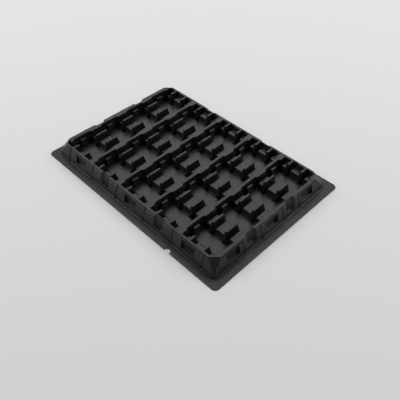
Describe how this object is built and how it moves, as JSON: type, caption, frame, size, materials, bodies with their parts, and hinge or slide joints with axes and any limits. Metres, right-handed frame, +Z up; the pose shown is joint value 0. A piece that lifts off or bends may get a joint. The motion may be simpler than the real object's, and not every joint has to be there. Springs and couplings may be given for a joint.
{
  "type": "thermoformed tray",
  "caption": "Black thermoformed nesting tray: a flat flange around a raised form with a grid of ribbed pockets, comb-shaped dividers and stacking notches in the rim",
  "frame": {"origin": "centre of the flange's underside, on the surface that the tray rests on", "axes": "+X along the long side, +Y along the short side, +Z up, pockets open upwards"},
  "size_m": [0.3, 0.2146, 0.0201],
  "materials": {
    "tray_plastic": "satin black, semi-gloss as formed"
  },
  "bodies": {
    "root": {"tray": "tray_plastic"}
  },
  "joints": []
}
